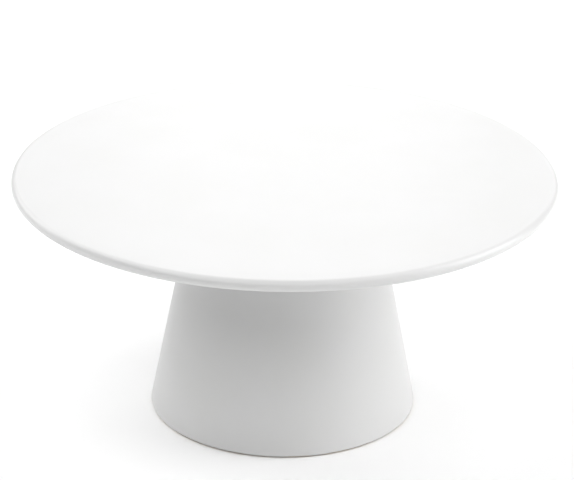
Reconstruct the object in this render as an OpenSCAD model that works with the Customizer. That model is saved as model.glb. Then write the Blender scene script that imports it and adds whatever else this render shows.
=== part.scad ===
// Two-piece ceramic cake stand: a round plate with a full round rim, screwed on to a hollow
// tapered pedestal. A bolt is potted in the plate, and a nut in the pedestal's deck.
// Millimetres, +Z up. The origin is on the table, under the middle of the stand.

/* [Overall] */
// Height from the table to the top of the plate
stand_h = 138.5; // [120:0.5:200]

/* [Plate] */
// Diameter of the plate over its rim
plate_d = 300; // [260:5:360]
// Thickness of the plate at its rim, which is rounded over this whole thickness
rim_t = 6.4; // [6:0.2:8]
// Thickness of the plate between the rim and the seat
web_t = 7.4; // [6:0.2:8]
// Thickness of the plate over the pedestal
seat_t = 9.6; // [9:0.2:12]

/* [Pedestal] */
// Outside diameter of the pedestal at its top
neck_d = 99.5; // [96:0.5:120]
// Outside diameter of the pedestal at its foot
foot_d = 149; // [140:0.5:180]
// Thickness of the pedestal's wall
wall_t = 6.5; // [5:0.5:8]
// Thickness of the deck that closes the pedestal's top
deck_t = 7; // [6:0.5:9]
// Width of the flat ring that the pedestal stands on
foot_ring_w = 11.5; // [11:0.5:14]

/* [Screw joint] */
// Length of the M8 bolt under its head
bolt_len = 20; // [20:1:25]
// Thickness of the silicone ring between the plate and the pedestal
gasket_t = 1.2; // [0.8:0.1:2]

/* [Foot pads] */
// Diameter of a foot pad
pad_d = 8; // [6:0.5:8]
// Thickness of a foot pad
pad_t = 2; // [1.5:0.1:2.5]
// How far a foot pad stands out of the foot ring
pad_proud = 0.4; // [0.4:0.1:1.2]

/* [Hidden] */
$fn = 96;
// How far a cut runs past the face that it opens
over = 1;

// M8 hardware
thread_r = 4;
thread_clearance = 0.05;
hex_across_flats = 13;
head_h = 5.3;
nut_h = 7.5;
nut_washer_t = 1.2;
nut_washer_r = 6.3;
bolt_hole_r = 4.75;
lead_in = 0.8;

// Room for the potting round the bolt's head and the nut
potting_gap = 0.3;
nut_potting_lip = 1;
nut_potting_mouth_r = 5.6;

// Plate
plate_r = plate_d / 2;
rim_r = rim_t / 2;
rim_taper_w = 26;
seat_margin = 6;
spigot_r = 41.5;
spigot_h = 3.2;
spigot_edge_r = 1;
socket_depth = 6.6;
seat_z = stand_h - seat_t;
web_z = stand_h - web_t;
spigot_z = seat_z - spigot_h;

// Pedestal
neck_r = neck_d / 2;
foot_r = foot_d / 2;
neck_edge_r = 1.2;
foot_edge_r = 1.2;
recess_r = 43;
recess_depth = 3;
neck_z = seat_z - gasket_t;
recess_z = neck_z - recess_depth;
deck_z = recess_z - deck_t;
deck_fillet_r = 9;
foot_ring_h = 6;
foot_ring_blend_h = 12;
// How far the wall leans in for each millimetre of height
lean = (foot_r - neck_r) / (neck_z - pad_proud);

// Levels of the screw joint, from the bolt's head down
head_z = spigot_z + socket_depth - head_h;
nut_z = head_z - bolt_len;
nut_washer_z = nut_z + nut_h;
pocket_z = nut_washer_z + nut_washer_t;
boss_z = nut_z - nut_potting_lip;
boss_r = 17;
boss_draft = 3;

// Gasket and foot pads
gasket_inset = 0.8;
gasket_in_r = recess_r + gasket_inset;
gasket_out_r = neck_r - neck_edge_r - gasket_inset;
pad_count = 4;
pad_pocket_clearance = 0.2;
pad_edge_r = 0.4;
pad_circle_r = foot_r - foot_edge_r - foot_ring_w / 2;

// Points of an arc about [x, y] from angle a to angle b
function arc(x, y, r, a, b, steps = 12) =
    [for (i = [0:steps]) [x + r * cos(a + (b - a) * i / steps), y + r * sin(a + (b - a) * i / steps)]];

// A level that eases from y0 at x0 to y1 at x1
function ease(x0, y0, x1, y1, steps = 16) =
    [for (i = [0:steps]) [x0 + (x1 - x0) * i / steps, y0 + (y1 - y0) * (1 - cos(180 * i / steps)) / 2]];

function outer_wall_r(z) = foot_r - lean * (z - pad_proud);
function inner_wall_r(z) = outer_wall_r(z) - wall_t;

module hexagon_prism(flats, z0, z1) {
    translate([0, 0, z0]) cylinder(d = flats / cos(30), h = z1 - z0, $fn = 6);
}

module disc(r, z0, z1) {
    translate([0, 0, z0]) cylinder(r = r, h = z1 - z0);
}

// Half section of the plate: flat top, round rim, tapered web, thick seat and locating spigot
module plate_section() {
    rim_x = plate_r - rim_r;
    seat_x = neck_r + seat_margin;
    translate([rim_x, stand_h - rim_r]) circle(r = rim_r);
    polygon(concat(
        [[0, spigot_z], [spigot_r - spigot_edge_r, spigot_z]],
        arc(spigot_r - spigot_edge_r, spigot_z + spigot_edge_r, spigot_edge_r, -90, 0, 6),
        [[spigot_r, seat_z]],
        ease(seat_x, seat_z, rim_x - rim_taper_w, web_z),
        ease(rim_x - rim_taper_w, web_z, rim_x, stand_h - rim_t, 8),
        [[rim_x, stand_h], [0, stand_h]]
    ));
}

module plate() {
    color("white") difference() {
        rotate_extrude() plate_section();
        hexagon_prism(hex_across_flats + 2 * potting_gap, spigot_z - over, spigot_z + socket_depth);
    }
}

// M8 hex bolt, head up
module plate_bolt() {
    color("silver") {
        hexagon_prism(hex_across_flats, head_z, head_z + head_h);
        disc(thread_r, nut_z + lead_in, head_z);
        translate([0, 0, nut_z]) cylinder(r1 = thread_r - lead_in, r2 = thread_r, h = lead_in);
    }
}

// Epoxy that fills the plate's socket round the bolt's head
module bolt_potting() {
    color("gainsboro") difference() {
        hexagon_prism(hex_across_flats + 2 * potting_gap, spigot_z, head_z + head_h);
        hexagon_prism(hex_across_flats, head_z, head_z + head_h + over);
        disc(thread_r, spigot_z - over, head_z + over);
    }
}

module gasket() {
    color("ghostwhite") difference() {
        disc(gasket_out_r, neck_z, seat_z);
        disc(gasket_in_r, neck_z - over, seat_z + over);
    }
}

// Half section of the pedestal: leaning wall, recessed deck with a boss, and a wide foot ring
module pedestal_section() {
    ring_in_r = foot_r - foot_edge_r - foot_ring_w;
    ring_z = pad_proud + foot_ring_h;
    blend_z = ring_z + foot_ring_blend_h;
    wall_angle = atan(lean);
    fillet_z = deck_z - deck_fillet_r;
    fillet_x = inner_wall_r(fillet_z) - deck_fillet_r / cos(wall_angle);
    polygon(concat(
        [[0, recess_z], [recess_r, recess_z], [recess_r, neck_z]],
        arc(neck_r - neck_edge_r, neck_z - neck_edge_r, neck_edge_r, 90, wall_angle, 6),
        arc(foot_r - foot_edge_r, pad_proud + foot_edge_r, foot_edge_r, wall_angle, -90, 8),
        [[ring_in_r, pad_proud], [ring_in_r, ring_z]],
        [for (p = ease(ring_z, ring_in_r, blend_z, inner_wall_r(blend_z), 8)) [p[1], p[0]]],
        arc(fillet_x, fillet_z, deck_fillet_r, wall_angle, 90, 8),
        [[boss_r + boss_draft, deck_z], [boss_r, boss_z], [0, boss_z]]
    ));
}

module pedestal() {
    color("white") difference() {
        rotate_extrude() pedestal_section();
        hexagon_prism(hex_across_flats + 2 * potting_gap, boss_z - over, pocket_z);
        disc(bolt_hole_r, pocket_z - over, recess_z + over);
        for (i = [1:pad_count]) at_pad(i) disc(pad_d / 2 + pad_pocket_clearance, 0, pad_t);
    }
}

// M8 nut, 7.5 mm high
module hex_nut() {
    color("silver") difference() {
        hexagon_prism(hex_across_flats, nut_z, nut_washer_z);
        disc(thread_r + thread_clearance, nut_z - over, nut_washer_z + over);
    }
}

module nut_washer() {
    color("ghostwhite") difference() {
        disc(nut_washer_r, nut_washer_z, pocket_z);
        disc(bolt_hole_r, nut_washer_z - over, pocket_z + over);
    }
}

// Epoxy round the nut, with a lip under it that keeps it in when the plate is off
module nut_potting() {
    color("gainsboro") difference() {
        hexagon_prism(hex_across_flats + 2 * potting_gap, boss_z, pocket_z);
        hexagon_prism(hex_across_flats, nut_z, nut_washer_z);
        disc(nut_washer_r, nut_washer_z, pocket_z + over);
        disc(nut_potting_mouth_r, boss_z - over, nut_z + over);
    }
}

// Puts its children at foot pad i
module at_pad(i) {
    rotate([0, 0, 45 + 360 * (i - 1) / pad_count]) translate([pad_circle_r, 0, 0]) children();
}

module foot_pad(i) {
    color("ghostwhite") at_pad(i) rotate_extrude() {
        translate([0, pad_edge_r]) square([pad_d / 2, pad_t - pad_edge_r]);
        square([pad_d / 2 - pad_edge_r, pad_edge_r]);
        intersection() {
            translate([pad_d / 2 - pad_edge_r, pad_edge_r]) circle(r = pad_edge_r);
            square([pad_d / 2, pad_edge_r]);
        }
    }
}

plate();
plate_bolt();
bolt_potting();
gasket();
pedestal();
hex_nut();
nut_washer();
nut_potting();
for (i = [1:pad_count]) foot_pad(i);
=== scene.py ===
"""Ceramic cake stand: glazed plate and pedestal, the screw joint between them, and foot pads."""
import math

import bmesh
import bpy
from mathutils import Matrix, Vector


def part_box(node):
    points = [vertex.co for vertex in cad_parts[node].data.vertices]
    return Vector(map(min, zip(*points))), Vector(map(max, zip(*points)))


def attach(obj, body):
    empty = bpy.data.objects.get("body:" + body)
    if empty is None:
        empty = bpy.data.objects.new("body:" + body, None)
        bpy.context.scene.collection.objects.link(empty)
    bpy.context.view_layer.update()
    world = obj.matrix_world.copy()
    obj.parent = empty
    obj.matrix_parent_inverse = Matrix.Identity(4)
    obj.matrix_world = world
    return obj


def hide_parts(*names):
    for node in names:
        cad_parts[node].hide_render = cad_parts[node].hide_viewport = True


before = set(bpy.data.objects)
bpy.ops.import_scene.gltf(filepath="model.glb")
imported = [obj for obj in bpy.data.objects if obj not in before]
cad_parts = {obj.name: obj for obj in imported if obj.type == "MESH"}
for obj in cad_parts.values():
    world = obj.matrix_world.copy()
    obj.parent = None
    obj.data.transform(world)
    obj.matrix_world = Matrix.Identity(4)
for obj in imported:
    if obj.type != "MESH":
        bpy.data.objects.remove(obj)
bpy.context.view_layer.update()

# ---------------------------------------------------------------- sizes, in metres
MM = 0.001
SEGMENTS = 240  # round a piece, and a multiple of 6 so that a hexagon's corners are vertices

RIM_R = 3.2 * MM
WEB_T = 7.4 * MM
RIM_TAPER_W = 26 * MM
SEAT_MARGIN = 6 * MM
SPIGOT_R = 41.5 * MM
SOCKET_DEPTH = 6.6 * MM

NECK_R = 49.75 * MM
WALL_T = 6.5 * MM
DECK_T = 7 * MM
RECESS_R = 43 * MM
RECESS_DEPTH = 3 * MM
FOOT_RING_W = 11.5 * MM
FOOT_RING_H = 6 * MM
FOOT_RING_BLEND_H = 12 * MM
NECK_EDGE_R = 1.2 * MM
FOOT_EDGE_R = 1.2 * MM
DECK_FILLET_R = 9 * MM
BOSS_R = 17 * MM
BOSS_DRAFT = 3 * MM

HEX_R = 6.5 * MM  # half across the flats of the bolt's head and the nut
POCKET_HEX_R = 6.8 * MM
HEAD_H = 5.3 * MM
THREAD_R = 4 * MM
PITCH = 1.25 * MM
THREAD_DEPTH = 0.6134 * PITCH
THREAD_CLEARANCE = 0.06 * MM
BOLT_HOLE_R = 4.75 * MM
WASHER_R = 6.3 * MM
POTTING_MOUTH_R = 5.6 * MM
PAD_POCKET_CLEARANCE = 0.2 * MM


# ---------------------------------------------------------------- outlines
def fillet(before, corner, after, radius, steps):
    """Points of the arc that rounds one corner of an outline."""
    a = (before - corner).normalized()
    b = (after - corner).normalized()
    half = math.acos(max(-1.0, min(1.0, a.dot(b)))) / 2
    reach = radius / math.tan(half)
    reach = min(reach, 0.49 * (before - corner).length, 0.49 * (after - corner).length)
    start = corner + a * reach
    end = corner + b * reach
    centre = corner + (a + b).normalized() * (reach / math.cos(half))
    first = start - centre
    last = end - centre
    sweep = first.angle_signed(last)
    return [centre + Matrix.Rotation(-sweep * i / steps, 2) @ first for i in range(steps + 1)]


def rounded(corners, closed=False, steps=6):
    """Outline through (r, z, radius) corners, each rounded by its own radius."""
    points = []
    count = len(corners)
    for i, (r, z, radius) in enumerate(corners):
        here = Vector((r, z))
        inside = closed or 0 < i < count - 1
        if radius == 0 or not inside:
            points.append(here)
            continue
        before = Vector(corners[i - 1][:2])
        after = Vector(corners[(i + 1) % count][:2])
        points.extend(fillet(before, here, after, radius, steps))
    return [(p.x, p.y) for p in points]


def band(inner, outer, bottom, top, edge):
    """Corners of a flat ring's section, each to be rounded by edge."""
    return [(inner, bottom, edge), (outer, bottom, edge), (outer, top, edge), (inner, top, edge)]


def arc(r, z, radius, start, end, steps):
    """Points of an arc in the (r, z) plane, angles in degrees."""
    angles = [math.radians(start + (end - start) * i / steps) for i in range(steps + 1)]
    return [(r + radius * math.cos(a), z + radius * math.sin(a)) for a in angles]


def ease(r0, z0, r1, z1, steps):
    """Points of a level that eases from z0 at r0 to z1 at r1."""
    ts = [i / steps for i in range(steps + 1)]
    return [(r0 + (r1 - r0) * t, z0 + (z1 - z0) * (1 - math.cos(math.pi * t)) / 2) for t in ts]


def straight(start, end, steps):
    """Points between two others on a straight line, without its ends."""
    (r0, z0), (r1, z1) = start, end
    return [(r0 + (r1 - r0) * t / steps, z0 + (z1 - z0) * t / steps) for t in range(1, steps)]


def meniscus(r0, r1, z, sag, steps):
    """Points of a liquid's surface that set between two walls, sag high in the middle."""
    ts = [i / steps for i in range(steps + 1)]
    return [(r0 + (r1 - r0) * t, z + sag * math.sin(math.pi * t) ** 0.7) for t in ts]


def hexagon(angle, half_flats):
    """Radius of a hexagon at an angle, with a corner on +X."""
    turn = (angle + math.pi / 6) % (math.pi / 3) - math.pi / 6
    return half_flats / math.cos(math.pi / 6 - abs(turn))


def thread(angle, z, crest_r):
    """Radius of a right-hand M8 thread."""
    turn = (z / PITCH - angle / math.tau) % 1.0
    from_crest = 2 * min(turn, 1 - turn)
    down = min(max((from_crest - 0.125) / 0.625, 0.0), 1.0)
    return crest_r - THREAD_DEPTH * down


# ---------------------------------------------------------------- meshes
def spin(name, section, segments=SEGMENTS, closed=False):
    """Revolves section(angle), a list of (r, z), round Z. Points on the axis become one vertex."""
    bm = bmesh.new()
    poles = {}
    rings = []
    for k in range(segments):
        angle = math.tau * k / segments
        ring = []
        for i, (r, z) in enumerate(section(angle)):
            if r < 1e-7:
                if i not in poles:
                    poles[i] = bm.verts.new((0, 0, z))
                ring.append(poles[i])
            else:
                ring.append(bm.verts.new((r * math.cos(angle), r * math.sin(angle), z)))
        rings.append(ring)
    count = len(rings[0])
    for k in range(segments):
        here = rings[k]
        there = rings[(k + 1) % segments]
        for i in range(count if closed else count - 1):
            j = (i + 1) % count
            corners = [here[i], here[j], there[j], there[i]]
            unique = list(dict.fromkeys(corners))
            if len(unique) > 2:
                bm.faces.new(unique)
    bmesh.ops.recalc_face_normals(bm, faces=bm.faces)
    mesh = bpy.data.meshes.new(name)
    bm.to_mesh(mesh)
    bm.free()
    piece = bpy.data.objects.new(name, mesh)
    bpy.context.scene.collection.objects.link(piece)
    return piece


def smooth(piece, angle=38):
    """Smooth shading, with edges sharper than angle kept crisp."""
    piece.data.shade_smooth()
    piece.data.set_sharp_from_angle(angle=math.radians(angle))
    return piece


def cut(piece, *tools):
    """Cuts the tools out of the piece and removes them."""
    for tool in tools:
        modifier = piece.modifiers.new("cut", "BOOLEAN")
        modifier.operation = "DIFFERENCE"
        modifier.solver = "EXACT"
        modifier.object = tool
    bpy.context.view_layer.update()
    graph = bpy.context.evaluated_depsgraph_get()
    mesh = bpy.data.meshes.new_from_object(piece.evaluated_get(graph))
    piece.modifiers.clear()
    piece.data = mesh
    for tool in tools:
        bpy.data.objects.remove(tool)
    return piece


def place(piece, body, node, material):
    """Puts a piece on its body in place of its CAD node, with its material."""
    piece.data.materials.clear()
    piece.data.materials.append(material)
    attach(piece, body)
    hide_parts(node)
    return piece


# ---------------------------------------------------------------- materials
def node_tree(name):
    """A new node material and its tree."""
    material = bpy.data.materials.new(name)
    material.use_nodes = True
    return material, material.node_tree


def add(tree, kind, links=None, **values):
    """Adds a shader node, sets its attributes or input values, and links its inputs."""
    node = tree.nodes.new(kind)
    for key, value in values.items():
        if hasattr(node, key):
            setattr(node, key, value)
        else:
            node.inputs[key.replace("_", " ")].default_value = value
    for key, source in (links or {}).items():
        tree.links.new(source, node.inputs[key])
    return node


def noise(tree, scale, detail=3.0, roughness=0.5):
    """Noise on the piece's own coordinates. scale is features per metre."""
    place_on = add(tree, "ShaderNodeTexCoord").outputs["Object"]
    settings = {"Scale": scale, "Detail": detail, "Roughness": roughness}
    return add(tree, "ShaderNodeTexNoise", {"Vector": place_on}, **settings)


def span(tree, source, low, high, from_low=0.2, from_high=0.8):
    """Maps a grey value from one range to another, with soft ends."""
    node = add(tree, "ShaderNodeMapRange", {"Value": source}, interpolation_type="SMOOTHERSTEP")
    node.inputs["From Min"].default_value = from_low
    node.inputs["From Max"].default_value = from_high
    node.inputs["To Min"].default_value = low
    node.inputs["To Max"].default_value = high
    return node.outputs["Result"]


def blend(tree, factor, a, b):
    """Mixes two colours, each a colour or a socket."""
    node = add(tree, "ShaderNodeMix", data_type="RGBA")
    tree.links.new(factor, node.inputs[0])
    for socket, value in ((node.inputs[6], a), (node.inputs[7], b)):
        if isinstance(value, tuple):
            socket.default_value = (*value, 1)
        else:
            tree.links.new(value, socket)
    return node.outputs[2]


def bump(tree, height, distance, strength=1.0, normal=None):
    """Bump of a given height in metres, on top of an earlier one if given."""
    node = add(tree, "ShaderNodeBump", {"Height": height})
    node.inputs["Distance"].default_value = distance
    node.inputs["Strength"].default_value = strength
    if normal:
        tree.links.new(normal, node.inputs["Normal"])
    return node.outputs["Normal"]


def finish_material(tree, colour, roughness, normal, **values):
    """Links the shader's colour, roughness and bump, and sets its other sockets."""
    shader = tree.nodes["Principled BSDF"]
    for key, source in (("Base Color", colour), ("Roughness", roughness), ("Normal", normal)):
        if source is not None:
            tree.links.new(source, shader.inputs[key])
    for key, value in values.items():
        shader.inputs[key.replace("_", " ")].default_value = value


def math_node(tree, operation, a, b):
    """Result of a math node on two inputs, each a number or a socket."""
    node = add(tree, "ShaderNodeMath", operation=operation)
    for socket, value in zip(node.inputs, (a, b)):
        if isinstance(value, (int, float)):
            socket.default_value = value
        else:
            tree.links.new(value, socket)
    return node.outputs[0]


def bare_zone(tree, level, above, radius):
    """1 where the glaze was wiped off: above or below a level, inside a radius, with a wavy edge."""
    place_on = add(tree, "ShaderNodeTexCoord").outputs["Object"]
    axes = add(tree, "ShaderNodeSeparateXYZ", {"Vector": place_on}).outputs
    flat = add(tree, "ShaderNodeCombineXYZ", {"X": axes["X"], "Y": axes["Y"]}).outputs["Vector"]
    reach = add(tree, "ShaderNodeVectorMath", {"Vector": flat}, operation="LENGTH").outputs["Value"]
    waver = span(tree, noise(tree, 70, detail=3).outputs["Fac"], -0.35 * MM, 0.35 * MM)
    height = math_node(tree, "ADD", axes["Z"], waver)
    soft = 0.12 * MM
    past = (level - soft, level + soft) if above else (level + soft, level - soft)
    at_level = span(tree, height, 0, 1, *past)
    inside = span(tree, math_node(tree, "ADD", reach, waver), 1, 0, radius - soft, radius + soft)
    return math_node(tree, "MULTIPLY", at_level, inside)


def mix_values(tree, factor, a, b):
    """a + factor * (b - a), on value sockets."""
    return math_node(tree, "ADD", a, math_node(tree, "MULTIPLY", factor, math_node(tree, "SUBTRACT", b, a)))


def glaze(name, white, pooled, rough_low, rough_high, *zones):
    """White glaze with slow pooling and a fine orange peel, and bare stoneware in the wiped zones."""
    material, tree = node_tree(name)
    pooling = noise(tree, 28, detail=4).outputs["Fac"]
    peel = noise(tree, 520, detail=2).outputs["Fac"]
    wave = noise(tree, 34, detail=1).outputs["Fac"]
    grain = noise(tree, 2400, detail=5, roughness=0.65).outputs["Fac"]
    cloud = noise(tree, 180, detail=4).outputs["Fac"]
    glazed = blend(tree, span(tree, pooling, 0, 1), white, pooled)
    smooth_finish = span(tree, pooling, rough_low, rough_high)
    clay = blend(tree, span(tree, grain, 0, 1), (0.52, 0.46, 0.38), (0.66, 0.60, 0.51))
    clay = blend(tree, span(tree, cloud, 0, 0.35), clay, (0.46, 0.39, 0.31))
    bare = bare_zone(tree, *zones[0])
    for zone in zones[1:]:
        bare = math_node(tree, "MAXIMUM", bare, bare_zone(tree, *zone))
    colour = blend(tree, bare, glazed, clay)
    roughness = mix_values(tree, bare, smooth_finish, span(tree, grain, 0.72, 0.88))
    normal = bump(tree, wave, 0.03 * MM)
    normal = bump(tree, peel, 0.006 * MM, normal=normal)
    normal = bump(tree, math_node(tree, "MULTIPLY", grain, bare), 0.05 * MM, normal=normal)
    glaze_edge = math_node(tree, "SUBTRACT", 1.0, bare)
    normal = bump(tree, glaze_edge, 0.12 * MM, normal=normal)
    finish_material(tree, colour, roughness, normal, IOR=1.5)
    return material


def steel(name):
    """Bright drawn steel with fine scratches."""
    material, tree = node_tree(name)
    grain = noise(tree, 900, detail=6, roughness=0.7).outputs["Fac"]
    patches = noise(tree, 260, detail=3).outputs["Fac"]
    colour = blend(tree, span(tree, patches, 0, 1), (0.56, 0.56, 0.55), (0.70, 0.70, 0.69))
    roughness = span(tree, grain, 0.29, 0.42)
    finish_material(tree, colour, roughness, bump(tree, grain, 0.01 * MM), Metallic=1.0)
    return material


def cured_epoxy(name):
    """Grey-white epoxy with trapped bubbles."""
    material, tree = node_tree(name)
    cloud = noise(tree, 400, detail=4).outputs["Fac"]
    place_on = add(tree, "ShaderNodeTexCoord").outputs["Object"]
    bubbles = add(tree, "ShaderNodeTexVoronoi", {"Vector": place_on}, Scale=900.0).outputs["Distance"]
    colour = blend(tree, span(tree, cloud, 0, 1), (0.66, 0.65, 0.60), (0.76, 0.75, 0.71))
    dips = span(tree, bubbles, 0, 1, 0.05, 0.3)
    finish_material(tree, colour, span(tree, cloud, 0.29, 0.40), bump(tree, dips, 0.05 * MM))
    return material


def silicone(name, light, dark):
    """Matt moulded silicone with a fine skin and a little dust."""
    material, tree = node_tree(name)
    skin = noise(tree, 1800, detail=3).outputs["Fac"]
    dust = noise(tree, 240, detail=5).outputs["Fac"]
    colour = blend(tree, span(tree, dust, 0, 1, 0.4, 0.7), light, dark)
    finish_material(tree, colour, span(tree, dust, 0.48, 0.66), bump(tree, skin, 0.02 * MM), IOR=1.41)
    return material


def nylon(name):
    """Natural nylon with a turned surface."""
    material, tree = node_tree(name)
    grain = noise(tree, 1200, detail=4).outputs["Fac"]
    cloud = noise(tree, 300, detail=3).outputs["Fac"]
    colour = blend(tree, span(tree, cloud, 0, 1), (0.80, 0.78, 0.70), (0.87, 0.86, 0.80))
    finish_material(tree, colour, span(tree, grain, 0.38, 0.52), bump(tree, grain, 0.015 * MM), IOR=1.53)
    return material


# ---------------------------------------------------------------- pieces
def make_plate(material):
    """Plate: socket, spigot, seat, tapered web, round rim and flat top."""
    low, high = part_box("plate")
    rim_x = high.x - RIM_R
    top = high.z
    seat_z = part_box("gasket")[1].z
    seat_x = NECK_R + SEAT_MARGIN
    web_z = top - WEB_T
    roof = low.z + SOCKET_DEPTH

    def section(angle):
        socket = hexagon(angle, POCKET_HEX_R)
        spigot = [
            (0, roof, 0),
            (socket, roof, 0),
            (socket, low.z, 0.4 * MM),
            (SPIGOT_R, low.z, 1 * MM),
            (SPIGOT_R, seat_z, 0),
        ]
        under = ease(seat_x, seat_z, rim_x - RIM_TAPER_W, web_z, 20)
        taper = ease(rim_x - RIM_TAPER_W, web_z, rim_x, top - 2 * RIM_R, 14)[1:-1]
        rim = arc(rim_x, top - RIM_R, RIM_R, -90, 90, 40)
        face = [(rim_x * (1 - i / 16), top) for i in range(1, 17)]
        return rounded(spigot) + under + taper + rim + face

    piece = smooth(spin("cake_plate", section))
    return place(piece, "plate", "plate", material)


def make_pedestal(material):
    """Pedestal: leaning wall, recessed deck with its boss, foot ring and pad pockets."""
    low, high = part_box("pedestal")
    foot_r = high.x
    foot_z = low.z
    neck_z = high.z
    deck_top = neck_z - RECESS_DEPTH
    deck_z = deck_top - DECK_T
    boss_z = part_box("nut_potting")[0].z
    pocket_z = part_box("nut_washer")[1].z
    lean = (foot_r - NECK_R) / (neck_z - foot_z)
    wall_angle = math.degrees(math.atan(lean))
    ring_x = foot_r - FOOT_EDGE_R - FOOT_RING_W
    ring_z = foot_z + FOOT_RING_H
    blend_z = ring_z + FOOT_RING_BLEND_H

    def inner_wall(z):
        return foot_r - lean * (z - foot_z) - WALL_T

    fillet_z = deck_z - DECK_FILLET_R
    fillet_x = inner_wall(fillet_z) - DECK_FILLET_R / math.cos(math.radians(wall_angle))

    def section(angle):
        pocket = hexagon(angle, POCKET_HEX_R)
        hole = [
            (pocket, boss_z, 0.3 * MM),
            (pocket, pocket_z, 0),
            (BOLT_HOLE_R, pocket_z, 0),
            (BOLT_HOLE_R, deck_top, 0.4 * MM),
            (RECESS_R, deck_top, 0.8 * MM),
            (RECESS_R, neck_z, 0.8 * MM),
        ]
        outer = arc(NECK_R - NECK_EDGE_R, neck_z - NECK_EDGE_R, NECK_EDGE_R, 90, wall_angle, 10)
        foot = arc(foot_r - FOOT_EDGE_R, foot_z + FOOT_EDGE_R, FOOT_EDGE_R, wall_angle, -90, 12)
        ring = [(ring_x, foot_z), (ring_x, ring_z)]
        wall = [(r, z) for z, r in ease(ring_z, ring_x, blend_z, inner_wall(blend_z), 10)]
        roof = arc(fillet_x, fillet_z, DECK_FILLET_R, wall_angle, 90, 12)
        boss = rounded([
            (fillet_x, deck_z, 0),
            (BOSS_R + BOSS_DRAFT, deck_z, 2.5 * MM),
            (BOSS_R, boss_z, 1.2 * MM),
            (pocket, boss_z, 0),
        ])[1:-1]
        start = rounded([(BOSS_R, boss_z, 0)] + hole + [(NECK_R, neck_z, 0)])[1:-1]
        side = straight(outer[-1], foot[0], 24)
        return start + outer + side + foot + ring + wall[1:] + roof + boss

    piece = spin("pedestal_body", section, closed=True)
    pockets = []
    for n in range(1, 5):
        pad_low, pad_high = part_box(f"foot_pad_{n}")
        centre = (pad_low + pad_high) / 2
        pocket_r = (pad_high.x - pad_low.x) / 2 + PAD_POCKET_CLEARANCE
        depth = pad_high.z
        outline = [(0, -depth), (pocket_r, -depth), (pocket_r, depth), (0, depth)]
        tool = spin(f"pad_pocket_{n}", lambda angle: outline, 48)
        tool.location = (centre.x, centre.y, 0)
        pockets.append(tool)
    cut(piece, *pockets)
    smooth(piece)
    return place(piece, "pedestal", "pedestal", material)


def hex_chamfer(angle, face_z, up):
    """Edge of a hexagon's end face, cut back by a 30 degree cone: the face's corner and the flat's end."""
    face_r = 0.95 * HEX_R
    corner = hexagon(angle, HEX_R)
    drop = math.tan(math.radians(30)) * max(0.0, corner - face_r)
    return [(face_r, face_z), (corner, face_z - up * drop)]


def make_bolt(material):
    """M8 hex bolt, head up, with its thread."""
    low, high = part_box("plate_bolt")
    head_z = high.z - HEAD_H
    rows = round((head_z - low.z) / PITCH * 12)

    def section(angle):
        shank = []
        for i in range(rows + 1):
            z = low.z + (head_z - low.z) * i / rows
            shank.append((min(thread(angle, z, THREAD_R), THREAD_R - 0.8 * MM + (z - low.z)), z))
        step_z = head_z + 0.3 * MM
        washer_face = [(0.93 * HEX_R, head_z), (0.93 * HEX_R, step_z), (hexagon(angle, HEX_R), step_z)]
        head = hex_chamfer(angle, high.z, 1)
        return [(0, low.z)] + shank + washer_face + head[::-1] + [(0, high.z)]

    piece = smooth(spin("plate_bolt_m8", section, segments=120), 25)
    return place(piece, "plate", "plate_bolt", material)


def make_nut(material):
    """M8 hex nut with its thread."""
    low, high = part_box("hex_nut")
    rows = round((high.z - low.z) / PITCH * 12)

    def section(angle):
        bottom = hex_chamfer(angle, low.z, -1)
        top = hex_chamfer(angle, high.z, 1)
        bore = []
        for i in range(rows + 1):
            z = high.z - (high.z - low.z) * i / rows
            from_face = min(z - low.z, high.z - z)
            mouth = THREAD_R + THREAD_CLEARANCE + 0.3 * MM - from_face
            bore.append((max(thread(angle, z, THREAD_R) + THREAD_CLEARANCE, mouth), z))
        return bottom + top[::-1] + bore

    piece = smooth(spin("hex_nut_m8", section, segments=120, closed=True), 25)
    return place(piece, "pedestal", "hex_nut", material)


def make_washer(material):
    """Nylon washer over the nut."""
    low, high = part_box("nut_washer")
    edge = 0.25 * MM
    outline = rounded(band(BOLT_HOLE_R, WASHER_R, low.z, high.z, edge), closed=True, steps=4)
    piece = smooth(spin("nylon_washer", lambda angle: outline, segments=120, closed=True))
    return place(piece, "pedestal", "nut_washer", material)


def make_gasket(material):
    """Silicone ring between the plate and the pedestal."""
    low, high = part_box("gasket")
    inner = RECESS_R + 0.8 * MM
    edge = 0.5 * MM
    outline = rounded(band(inner, high.x, low.z, high.z, edge), closed=True)
    piece = smooth(spin("seat_gasket", lambda angle: outline, closed=True))
    return place(piece, "gasket", "gasket", material)


def make_bolt_potting(material):
    """Epoxy round the bolt's head."""
    low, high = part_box("bolt_potting")
    head_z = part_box("plate_bolt")[1].z - HEAD_H
    sag = 0.35 * MM

    def section(angle):
        wall = hexagon(angle, POCKET_HEX_R)
        head = hexagon(angle, HEX_R)
        surface = meniscus(THREAD_R, wall, low.z, sag, 12)
        return surface + [(wall, high.z), (head, high.z), (head, head_z), (THREAD_R, head_z)]

    piece = smooth(spin("bolt_epoxy", section, segments=120, closed=True))
    return place(piece, "plate", "bolt_potting", material)


def make_nut_potting(material):
    """Epoxy round the nut, open under it."""
    low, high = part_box("nut_potting")
    nut_low, nut_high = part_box("hex_nut")
    sag = 0.25 * MM

    def section(angle):
        wall = hexagon(angle, POCKET_HEX_R)
        nut = hexagon(angle, HEX_R)
        roof = [(wall, high.z), (WASHER_R, high.z), (WASHER_R, nut_high.z), (nut, nut_high.z)]
        lip = [(nut, nut_low.z), (POTTING_MOUTH_R, nut_low.z)]
        return meniscus(POTTING_MOUTH_R, wall, low.z, sag, 10) + roof + lip

    piece = smooth(spin("nut_epoxy", section, segments=120, closed=True))
    return place(piece, "pedestal", "nut_potting", material)


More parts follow.
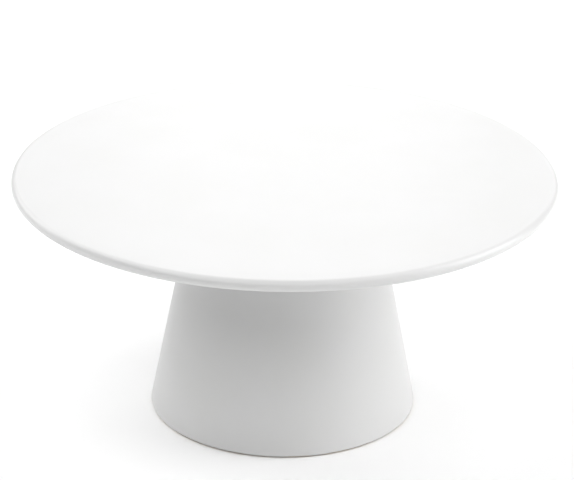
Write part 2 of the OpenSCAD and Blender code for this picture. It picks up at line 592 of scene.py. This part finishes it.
def make_pad(n, material):
    """Foot pad n, with a slightly domed sole."""
    node = f"foot_pad_{n}"
    low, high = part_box(node)
    centre = (low + high) / 2
    radius = (high.x - low.x) / 2
    dome = 0.15 * MM
    edge = 0.5 * MM
    sole = [(0, low.z)] + ease(radius * 0.55, low.z, radius - edge, low.z + dome, 6)
    side = arc(radius - edge, low.z + dome + edge, edge, -90, 0, 6)[1:]
    shoulder = rounded([(radius, low.z + dome + edge, 0), (radius, high.z, 0.2 * MM), (0, high.z, 0)])[1:]
    outline = sole + side + shoulder
    piece = smooth(spin(f"silicone_pad_{n}", lambda angle: outline, segments=64))
    piece.location = (centre.x, centre.y, 0)
    return place(piece, "pedestal", node, material)


# ---------------------------------------------------------------- stage, camera and light
def make_camera(radius):
    """Long lens in front of the stand, looking down on it. Distances are in plate radii."""
    data = bpy.data.cameras.new("camera")
    data.lens = 166.63
    data.sensor_width = 36
    camera = bpy.data.objects.new("camera", data)
    bpy.context.scene.collection.objects.link(camera)
    pitch = math.radians(23.078)
    yaw = math.radians(0.066)
    roll = math.radians(0.673)
    ahead = Vector((math.sin(yaw) * math.cos(pitch), math.cos(yaw) * math.cos(pitch), -math.sin(pitch)))
    right = ahead.cross(Vector((0, 0, 1))).normalized()
    up = right.cross(ahead)
    right_rolled = right * math.cos(roll) + up * math.sin(roll)
    up_rolled = up * math.cos(roll) - right * math.sin(roll)
    turn = Matrix((right_rolled, up_rolled, -ahead)).transposed().to_4x4()
    camera.matrix_world = Matrix.Translation(Vector((0, -9.0573, 4.509)) * radius) @ turn
    data.clip_end = 100
    bpy.context.scene.camera = camera


def make_floor():
    """Plain white matt floor."""
    bm = bmesh.new()
    bmesh.ops.create_grid(bm, x_segments=8, y_segments=8, size=12)
    mesh = bpy.data.meshes.new("floor")
    bm.to_mesh(mesh)
    bm.free()
    floor = bpy.data.objects.new("floor", mesh)
    bpy.context.scene.collection.objects.link(floor)
    material, tree = node_tree("floor_white")
    mottle = noise(tree, 6, detail=3).outputs["Fac"]
    colour = blend(tree, span(tree, mottle, 0, 1), (0.955, 0.955, 0.955), (0.97, 0.97, 0.97))
    finish_material(tree, colour, None, None, Roughness=0.9, Specular_IOR_Level=0.0)
    mesh.materials.append(material)


def softbox(name, azimuth, elevation, distance, width, height, brightness):
    """Area light on a sphere round the stand. Azimuth 0 is in front of it, 90 to its right."""
    data = bpy.data.lights.new(name, "AREA")
    data.shape = "RECTANGLE"
    data.size = width
    data.size_y = height
    data.energy = brightness * math.pi * width * height
    light = bpy.data.objects.new(name, data)
    a = math.radians(azimuth)
    e = math.radians(elevation)
    away = Vector((math.sin(a) * math.cos(e), -math.cos(a) * math.cos(e), math.sin(e)))
    light.location = Vector((0, 0, 0.09)) + away * distance
    light.rotation_mode = "QUATERNION"
    light.rotation_quaternion = away.to_track_quat("Z", "Y")
    bpy.context.scene.collection.objects.link(light)


def make_world(strength):
    """Even grey-white room round the stand."""
    world = bpy.data.worlds.new("studio")
    bpy.context.scene.world = world
    world.use_nodes = True
    room = world.node_tree.nodes["Background"]
    room.inputs["Color"].default_value = (1, 1, 1, 1)
    room.inputs["Strength"].default_value = strength


bpy.context.scene.view_settings.view_transform = "Standard"
make_camera(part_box("plate")[1].x)
make_floor()
make_world(0.065)
softbox("back_high", 180, 42, 1.9, 1.6, 0.7, 1.92)
softbox("back_small", 180, 22, 2.1, 0.5, 0.25, 1.84)
softbox("back_low", 180, 17, 2.1, 0.9, 0.4, 1.64)
softbox("back_left_low", -157, 17, 2.1, 0.8, 0.5, 1.36)
softbox("back_right_low", 157, 17, 2.1, 0.8, 0.5, 1.75)
softbox("front_high", 0, 42, 1.8, 1.2, 0.6, 2.62)
softbox("front_left_high", -40, 42, 1.8, 0.9, 0.6, 3.49)
softbox("left_rear", -125, 30, 1.8, 1.2, 1.2, 2.73)
softbox("left_high", -90, 62, 1.8, 1.2, 1.0, 2.62)
softbox("right_side", 90, 30, 1.8, 1.2, 1.2, 4.37)
softbox("right_high", 90, 62, 1.8, 1.2, 1.0, 1.31)
softbox("right_floor", 80, 8, 1.8, 1.6, 0.4, 2.95)

seat_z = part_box("gasket")[1].z
foot_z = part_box("pedestal")[0].z
neck_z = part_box("pedestal")[1].z
plate_glaze = glaze(
    "plate_white_glaze", (0.705, 0.705, 0.705), (0.697, 0.697, 0.693), 0.29, 0.32,
    (seat_z + 0.45 * MM, False, NECK_R - 1.1 * MM),
)
pedestal_glaze = glaze(
    "pedestal_white_glaze", (0.67, 0.67, 0.67), (0.66, 0.66, 0.655), 0.31, 0.37,
    (foot_z + 0.45 * MM, False, 1.0),
    (neck_z - RECESS_DEPTH - 0.6 * MM, True, NECK_R - 0.9 * MM),
)
steel_bright = steel("steel_bright")
epoxy = cured_epoxy("epoxy_cured")

make_plate(plate_glaze)
make_pedestal(pedestal_glaze)
make_bolt(steel_bright)
make_nut(steel_bright)
make_washer(nylon("nylon_natural"))
make_gasket(silicone("silicone_white", (0.84, 0.84, 0.83), (0.78, 0.78, 0.77)))
make_bolt_potting(epoxy)
make_nut_potting(epoxy)
pad_silicone = silicone("silicone_milky", (0.74, 0.75, 0.75), (0.66, 0.67, 0.67))
for number in range(1, 5):
    make_pad(number, pad_silicone)
